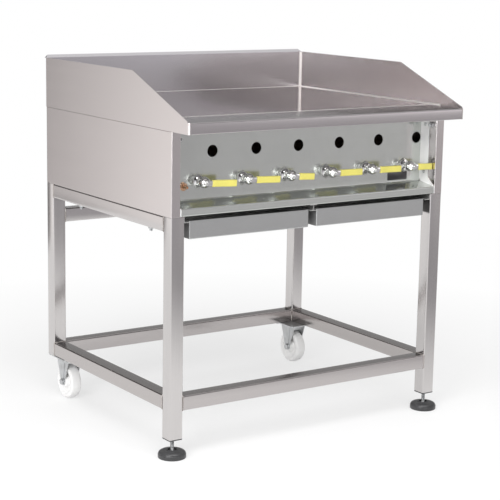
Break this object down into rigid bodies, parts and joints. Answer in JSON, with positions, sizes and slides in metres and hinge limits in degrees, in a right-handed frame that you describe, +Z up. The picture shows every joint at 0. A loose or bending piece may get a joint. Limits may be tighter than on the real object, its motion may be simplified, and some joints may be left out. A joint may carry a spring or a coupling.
{
  "type": "gas griddle",
  "caption": "Free-standing flat-plate gas griddle with splash guards, lever gas taps, drip trays and a tubular stand on castors and levelling feet.",
  "frame": {"origin": "bottom centre of the whole object's box, on the floor under the stand", "axes": "+X to the right as seen from the front, +Y from the taps at the front to the back guard, +Z up"},
  "size_m": [0.935, 0.808, 1.008],
  "materials": {
    "stainless": "brushed",
    "polished_plate": "polished",
    "galvanised": "satin",
    "burner_steel": "heat stained",
    "chrome": "polished",
    "yellow_grip": "moulded",
    "brass": "turned",
    "zinc": "zinc plated",
    "white_nylon": "moulded",
    "black_plastic": "moulded"
  },
  "bodies": {
    "stand": {"back_panel": "stainless", "burner_rails": "galvanised", "burners": "burner_steel", "castor_axles": "zinc", "castor_fork_left": "zinc", "castor_fork_right": "zinc", "control_panel": "galvanised", "frame_bolts": "zinc", "front_apron": "stainless", "gas_inlet": "brass", "gas_manifold": "burner_steel", "griddle_plate": "polished_plate", "injectors": "brass", "leg_front_left": "stainless", "leg_front_right": "stainless", "leg_inserts": "black_plastic", "leg_rear_left": "stainless", "leg_rear_right": "stainless", "lower_rail_front": "stainless", "lower_rail_left": "stainless", "lower_rail_rear": "stainless", "lower_rail_right": "stainless", "panel_brackets": "stainless", "panel_screws": "zinc", "plate_bearers": "polished_plate", "side_panel_left": "stainless", "side_panel_right": "stainless", "splash_guard_back": "stainless", "splash_guard_left": "stainless", "splash_guard_right": "stainless", "tap_bodies": "chrome", "tap_nuts": "chrome", "test_nipple": "brass", "tray_runner_centre": "galvanised", "tray_runner_left": "galvanised", "tray_runner_right": "galvanised", "upper_rail_left": "stainless", "upper_rail_rear": "stainless", "upper_rail_right": "stainless"},
    "drip_tray_left": {"drip_tray_left": "galvanised"},
    "drip_tray_right": {"drip_tray_right": "galvanised"},
    "castor_wheel_left": {"castor_wheel_left": "white_nylon"},
    "castor_wheel_right": {"castor_wheel_right": "white_nylon"},
    "foot_left": {"foot_pad_left": "black_plastic", "foot_stud_left": "zinc"},
    "foot_right": {"foot_pad_right": "black_plastic", "foot_stud_right": "zinc"},
    "tap_1": {"tap_lever_1": "chrome", "tap_grip_1": "yellow_grip"},
    "tap_2": {"tap_lever_2": "chrome", "tap_grip_2": "yellow_grip"},
    "tap_3": {"tap_lever_3": "chrome", "tap_grip_3": "yellow_grip"},
    "tap_4": {"tap_lever_4": "chrome", "tap_grip_4": "yellow_grip"},
    "tap_5": {"tap_lever_5": "chrome", "tap_grip_5": "yellow_grip"},
    "tap_6": {"tap_lever_6": "chrome", "tap_grip_6": "yellow_grip"}
  },
  "joints": [
    {"name": "drip_tray_left_slide", "type": "slide", "parent": "stand", "child": "drip_tray_left", "axis": [0, -1, 0], "range_m": [0, 0.45]},
    {"name": "drip_tray_right_slide", "type": "slide", "parent": "stand", "child": "drip_tray_right", "axis": [0, -1, 0], "range_m": [0, 0.45]},
    {"name": "tap_1_turn", "type": "hinge", "parent": "stand", "child": "tap_1", "pos_m": [-0.33175, -0.308, 0.72], "axis": [0, -1, 0], "range_deg": [0, 90]},
    {"name": "tap_2_turn", "type": "hinge", "parent": "stand", "child": "tap_2", "pos_m": [-0.1936, -0.308, 0.72], "axis": [0, -1, 0], "range_deg": [0, 90]},
    {"name": "tap_3_turn", "type": "hinge", "parent": "stand", "child": "tap_3", "pos_m": [-0.05545, -0.308, 0.72], "axis": [0, -1, 0], "range_deg": [0, 90]},
    {"name": "tap_4_turn", "type": "hinge", "parent": "stand", "child": "tap_4", "pos_m": [0.0827, -0.308, 0.72], "axis": [0, -1, 0], "range_deg": [0, 90]},
    {"name": "tap_5_turn", "type": "hinge", "parent": "stand", "child": "tap_5", "pos_m": [0.22085, -0.308, 0.72], "axis": [0, -1, 0], "range_deg": [0, 90]},
    {"name": "tap_6_turn", "type": "hinge", "parent": "stand", "child": "tap_6", "pos_m": [0.359, -0.308, 0.72], "axis": [0, -1, 0], "range_deg": [0, 90]},
    {"name": "castor_wheel_left_spin", "type": "hinge", "parent": "stand", "child": "castor_wheel_left", "pos_m": [-0.4075, 0.3235, 0.05], "axis": [1, 0, 0], "continuous": true},
    {"name": "castor_wheel_right_spin", "type": "hinge", "parent": "stand", "child": "castor_wheel_right", "pos_m": [0.4075, 0.3235, 0.05], "axis": [1, 0, 0], "continuous": true},
    {"name": "foot_left_screw", "type": "slide", "parent": "stand", "child": "foot_left", "axis": [0, 0, 1], "range_m": [-0.02, 0]},
    {"name": "foot_right_screw", "type": "slide", "parent": "stand", "child": "foot_right", "axis": [0, 0, 1], "range_m": [-0.02, 0]}
  ]
}
